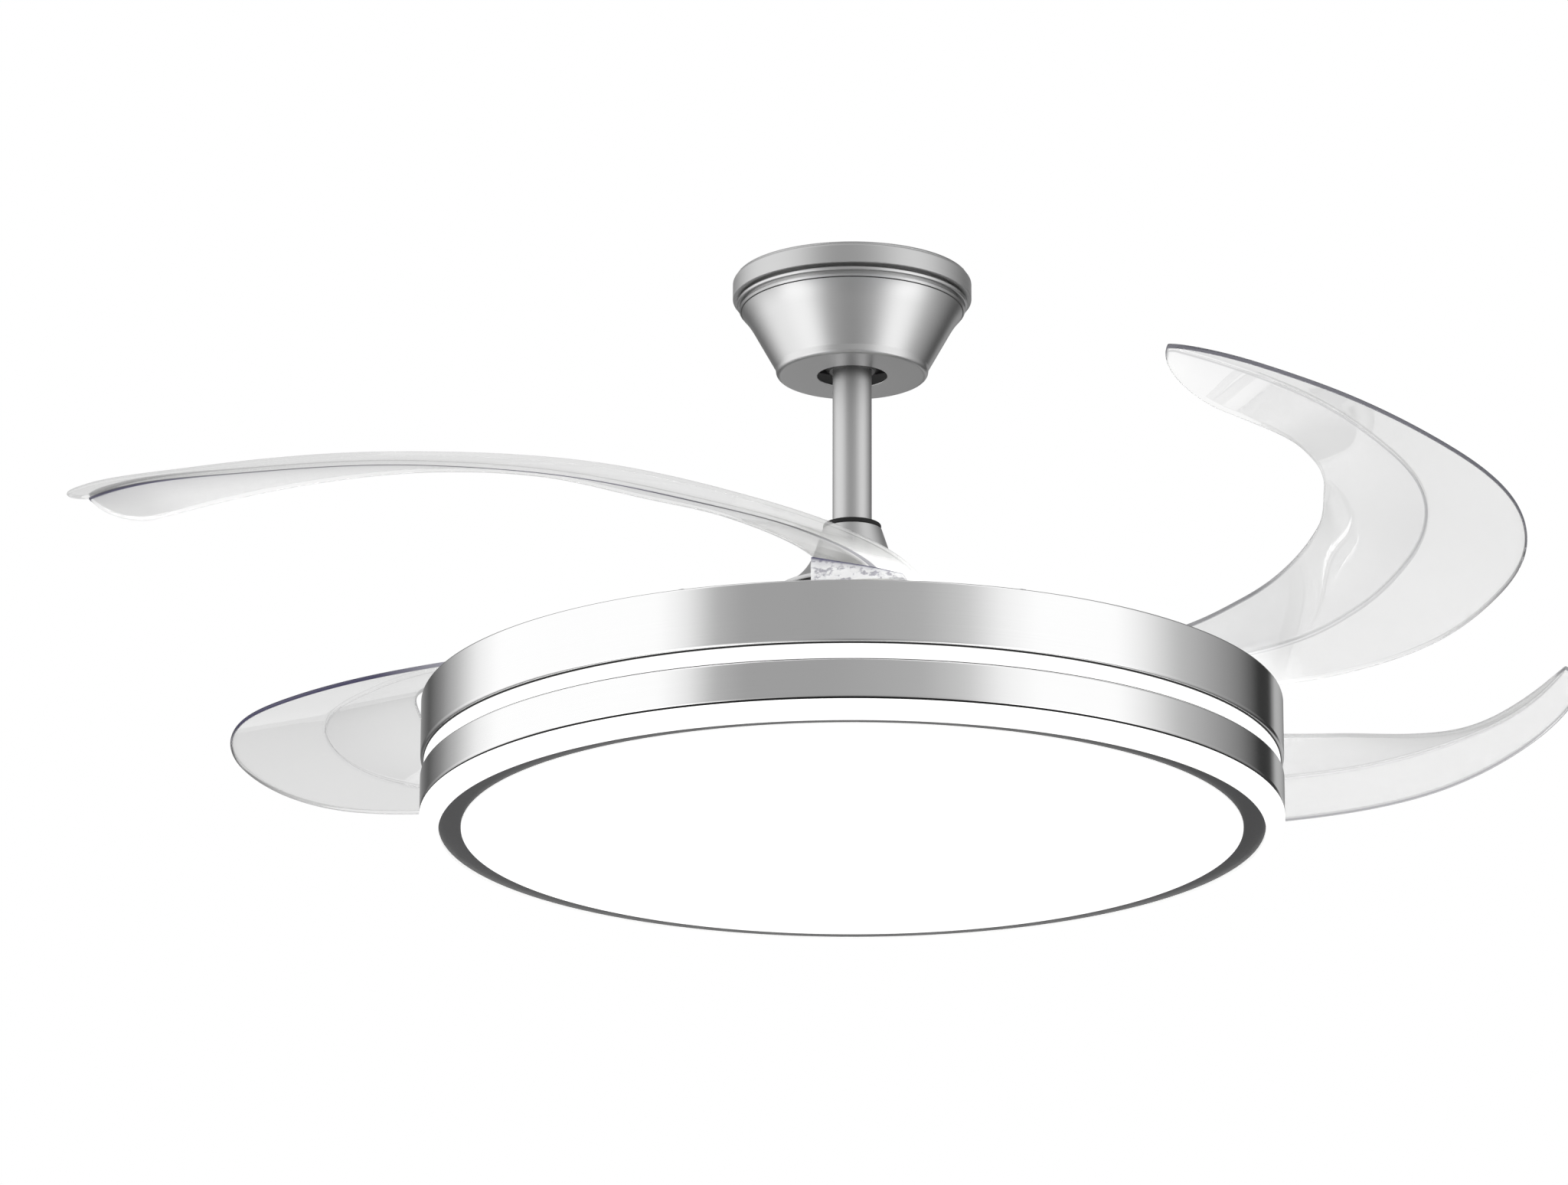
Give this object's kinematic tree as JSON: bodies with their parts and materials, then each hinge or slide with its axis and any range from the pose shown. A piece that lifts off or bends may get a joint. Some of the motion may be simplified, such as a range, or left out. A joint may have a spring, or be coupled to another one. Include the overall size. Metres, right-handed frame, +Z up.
{
  "type": "retractable blade ceiling fan",
  "caption": "Ceiling fan with clear folding blades above a round brushed nickel drum light, on a downrod with a canopy; the blades swing in over the drum when idle.",
  "frame": {"origin": "centre of the bracket's top face on the ceiling, on the fan's axis", "axes": "X along the row of the bracket's ceiling slots, Y across it, Z up to the ceiling"},
  "size_m": [0.88, 0.88, 0.341],
  "materials": {
    "nickel": "brushed nickel plate, satin",
    "steel": "plain machined steel",
    "zinc": "zinc-plated pressed steel",
    "iron": "dark cast and laminated iron",
    "cast_shell": "light grey coated die casting",
    "white_metal": "white powder coat",
    "dark_trim": "dark grey satin paint",
    "copper": "lacquered copper winding",
    "brass": "plain brass washer",
    "rubber": "black rubber gasket",
    "black_plastic": "black moulded plastic",
    "grey_plastic": "dark grey moulded plastic",
    "white_plastic": "white moulded plastic",
    "gear_plastic": "natural moulded acetal",
    "phosphor": "yellow phosphor over the chips",
    "white_acrylic": "white light-diffusing acrylic",
    "clear_plastic": "clear moulded plastic, polished"
  },
  "bodies": {
    "ceiling_mount": {"ceiling_bracket": "zinc", "receiver": "black_plastic", "terminal_block": "white_plastic", "canopy_ring": "nickel", "canopy": "nickel", "canopy_screws": "steel"},
    "hanging_frame": {"hanger_ball": "grey_plastic", "rod_pins": "steel", "downrod": "nickel", "rod_gasket": "rubber", "coupling_cover": "nickel", "yoke": "iron", "pin_clips": "steel", "set_screws": "steel", "motor_shaft": "steel", "stator_core": "iron", "stator_windings": "copper", "bearing_inner_rings": "steel", "light_hub": "steel", "base_plate": "zinc", "upper_band": "nickel", "light_band": "white_acrylic", "lower_band": "nickel", "band_brackets": "zinc", "lens_ring": "white_acrylic", "trim_ring": "dark_trim", "diffuser": "white_acrylic", "light_tray": "white_metal", "led_boards": "white_plastic", "leds": "phosphor", "led_driver": "white_plastic", "light_screws": "steel"},
    "rotor": {"rotor_top": "cast_shell", "rotor_bottom": "cast_shell", "rotor_magnets": "iron", "bearing_outer_rings": "steel", "bearing_balls": "steel", "motor_screws": "steel", "blade_carrier": "zinc", "pivot_washers": "brass", "pivot_bolts": "steel", "pivot_nuts": "steel", "return_springs": "steel"},
    "sync_ring": {"sync_gear": "gear_plastic"},
    "blade_1": {"blade_leaf_1": "clear_plastic", "root_block_1": "clear_plastic", "blade_hub_1": "gear_plastic", "root_screws_1": "steel"},
    "blade_2": {"blade_leaf_2": "clear_plastic", "root_block_2": "clear_plastic", "blade_hub_2": "gear_plastic", "root_screws_2": "steel"},
    "blade_3": {"blade_leaf_3": "clear_plastic", "root_block_3": "clear_plastic", "blade_hub_3": "gear_plastic", "root_screws_3": "steel"},
    "blade_4": {"blade_leaf_4": "clear_plastic", "root_block_4": "clear_plastic", "blade_hub_4": "gear_plastic", "root_screws_4": "steel"}
  },
  "joints": [
    {"name": "hanger_swing", "type": "hinge", "parent": "ceiling_mount", "child": "hanging_frame", "pos_m": [0, 0, -0.038], "axis": [1, 0, 0], "range_deg": [-12, 12]},
    {"name": "rotor_spin", "type": "hinge", "parent": "hanging_frame", "child": "rotor", "pos_m": [0, 0, -0.25], "axis": [0, 0, 1], "continuous": true},
    {"name": "blade_1_fold", "type": "hinge", "parent": "rotor", "child": "blade_1", "pos_m": [0.14466, -0.04981, -0.245], "axis": [0, 0, -1], "range_deg": [0, 107]},
    {"name": "blade_2_fold", "type": "hinge", "parent": "rotor", "child": "blade_2", "pos_m": [0.04981, 0.14466, -0.245], "axis": [0, 0, -1], "range_deg": [0, 107]},
    {"name": "blade_3_fold", "type": "hinge", "parent": "rotor", "child": "blade_3", "pos_m": [-0.14466, 0.04981, -0.245], "axis": [0, 0, -1], "range_deg": [0, 107]},
    {"name": "blade_4_fold", "type": "hinge", "parent": "rotor", "child": "blade_4", "pos_m": [-0.04981, -0.14466, -0.245], "axis": [0, 0, -1], "range_deg": [0, 107]},
    {"name": "sync_ring_turn", "type": "hinge", "parent": "rotor", "child": "sync_ring", "pos_m": [0, 0, -0.25], "axis": [0, 0, -1], "range_deg": [-30, 0]}
  ],
  "couplings": [
    {"joint": "blade_2_fold", "follows": "blade_1_fold", "ratio": 1},
    {"joint": "blade_3_fold", "follows": "blade_1_fold", "ratio": 1},
    {"joint": "blade_4_fold", "follows": "blade_1_fold", "ratio": 1},
    {"joint": "sync_ring_turn", "follows": "blade_1_fold", "ratio": -0.275}
  ]
}
